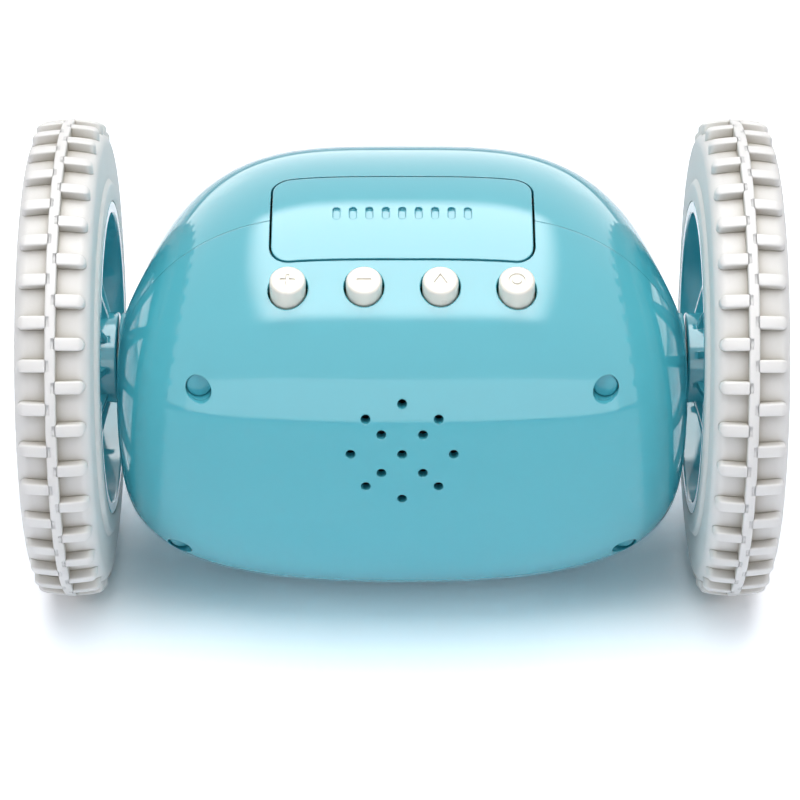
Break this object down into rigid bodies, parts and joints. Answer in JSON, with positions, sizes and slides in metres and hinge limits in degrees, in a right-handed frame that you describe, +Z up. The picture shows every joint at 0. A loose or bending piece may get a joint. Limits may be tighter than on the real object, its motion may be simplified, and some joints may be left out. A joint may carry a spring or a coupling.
{
  "type": "runaway alarm clock",
  "caption": "Round-bodied alarm clock slung on an axle between two large treaded wheels, with a snooze bar, set buttons and a display.",
  "frame": {"origin": "on the floor under the middle of the axle line, midway between the wheels", "axes": "+X along the axles to the right as seen from the rear, -Y the rear with the snooze bar and set buttons, +Y the front with the display, +Z up"},
  "size_m": [0.135, 0.088, 0.088],
  "materials": {
    "shell_plastic": "glossy moulded ABS, aqua",
    "button_plastic": "satin moulded ABS, ivory",
    "tyre_rubber": "soft moulded elastomer, white",
    "circuit_board": "glass-epoxy laminate, green",
    "dark_plastic": "moulded plastic, dark",
    "steel": "bright zinc plate",
    "brass": "turned",
    "acetal": "moulded acetal, natural",
    "clear_lens": "clear polished acrylic",
    "lcd_glass": "liquid crystal panel",
    "contact_rubber": "layered conductive elastomer",
    "cell_wrap": "printed film over a steel can"
  },
  "bodies": {
    "body": {"front_shell": "shell_plastic", "rear_shell": "shell_plastic", "shell_screws": "steel", "screw_plugs": "shell_plastic", "snooze_springs": "steel", "key_board": "circuit_board", "key_switches": "dark_plastic", "front_key_board": "circuit_board", "front_switches": "dark_plastic", "board_screws": "steel", "display_lens": "clear_lens", "display_bezel": "button_plastic", "lcd_module": "lcd_glass", "lcd_contact_strips": "contact_rubber", "main_board": "circuit_board", "speaker": "dark_plastic", "battery_tray": "shell_plastic", "battery_cells": "cell_wrap", "battery_contacts": "brass", "gear_frame_screws": "steel", "left_motor": "steel", "left_idler_pin": "steel", "left_gear_frame": "acetal", "left_axle_bush": "brass", "right_motor": "steel", "right_idler_pin": "steel", "right_gear_frame": "acetal", "right_axle_bush": "brass"},
    "battery_door": {"battery_door": "shell_plastic", "battery_door_screw": "steel"},
    "snooze_bar": {"snooze_bar": "shell_plastic"},
    "plus_button": {"plus_button": "button_plastic"},
    "minus_button": {"minus_button": "button_plastic"},
    "alarm_button": {"alarm_button": "button_plastic"},
    "clock_button": {"clock_button": "button_plastic"},
    "left_front_button": {"left_front_button": "button_plastic"},
    "right_front_button": {"right_front_button": "button_plastic"},
    "left_wheel": {"left_wheel_hub": "shell_plastic", "left_tyre": "tyre_rubber", "left_axle": "steel", "left_axle_gear": "acetal", "left_hub_screw": "steel", "left_hub_cap": "shell_plastic"},
    "left_idler_gear": {"left_idler_gear": "acetal"},
    "left_motor_pinion": {"left_motor_pinion": "brass"},
    "right_wheel": {"right_wheel_hub": "shell_plastic", "right_tyre": "tyre_rubber", "right_axle": "steel", "right_axle_gear": "acetal", "right_hub_screw": "steel", "right_hub_cap": "shell_plastic"},
    "right_idler_gear": {"right_idler_gear": "acetal"},
    "right_motor_pinion": {"right_motor_pinion": "brass"}
  },
  "joints": [
    {"name": "snooze_press", "type": "slide", "parent": "body", "child": "snooze_bar", "axis": [0, 0.4226, -0.9063], "range_m": [0, 0.0016], "stiffness_N_per_m": 900, "springref_m": -0.001},
    {"name": "plus_press", "type": "slide", "parent": "body", "child": "plus_button", "axis": [0, 0.4226, -0.9063], "range_m": [0, 0.001], "stiffness_N_per_m": 600, "springref_m": -0.001},
    {"name": "minus_press", "type": "slide", "parent": "body", "child": "minus_button", "axis": [0, 0.4226, -0.9063], "range_m": [0, 0.001], "stiffness_N_per_m": 600, "springref_m": -0.001},
    {"name": "alarm_press", "type": "slide", "parent": "body", "child": "alarm_button", "axis": [0, 0.4226, -0.9063], "range_m": [0, 0.001], "stiffness_N_per_m": 600, "springref_m": -0.001},
    {"name": "clock_press", "type": "slide", "parent": "body", "child": "clock_button", "axis": [0, 0.4226, -0.9063], "range_m": [0, 0.001], "stiffness_N_per_m": 600, "springref_m": -0.001},
    {"name": "left_front_press", "type": "slide", "parent": "body", "child": "left_front_button", "axis": [0, -0.6947, -0.7193], "range_m": [0, 0.001], "stiffness_N_per_m": 600, "springref_m": -0.001},
    {"name": "right_front_press", "type": "slide", "parent": "body", "child": "right_front_button", "axis": [0, -0.6947, -0.7193], "range_m": [0, 0.001], "stiffness_N_per_m": 600, "springref_m": -0.001},
    {"name": "battery_door_lift", "type": "slide", "parent": "body", "child": "battery_door", "axis": [0, 0.342, -0.9397], "range_m": [0, 0.012]},
    {"name": "left_wheel_spin", "type": "hinge", "parent": "body", "child": "left_wheel", "pos_m": [-0.0605, 0, 0.044], "axis": [1, 0, 0], "continuous": true},
    {"name": "left_idler_spin", "type": "hinge", "parent": "body", "child": "left_idler_gear", "pos_m": [-0.0225, -0.00508, 0.05705], "axis": [1, 0, 0], "continuous": true},
    {"name": "left_pinion_spin", "type": "hinge", "parent": "body", "child": "left_motor_pinion", "pos_m": [-0.021, -0.0141, 0.04913], "axis": [1, 0, 0], "continuous": true},
    {"name": "right_wheel_spin", "type": "hinge", "parent": "body", "child": "right_wheel", "pos_m": [0.0605, 0, 0.044], "axis": [1, 0, 0], "continuous": true},
    {"name": "right_idler_spin", "type": "hinge", "parent": "body", "child": "right_idler_gear", "pos_m": [0.0225, -0.00508, 0.05705], "axis": [1, 0, 0], "continuous": true},
    {"name": "right_pinion_spin", "type": "hinge", "parent": "body", "child": "right_motor_pinion", "pos_m": [0.021, -0.0141, 0.04913], "axis": [1, 0, 0], "continuous": true}
  ],
  "couplings": [
    {"joint": "left_idler_spin", "follows": "left_wheel_spin", "ratio": -3},
    {"joint": "left_pinion_spin", "follows": "left_wheel_spin", "ratio": 9},
    {"joint": "right_idler_spin", "follows": "right_wheel_spin", "ratio": -3},
    {"joint": "right_pinion_spin", "follows": "right_wheel_spin", "ratio": 9}
  ]
}
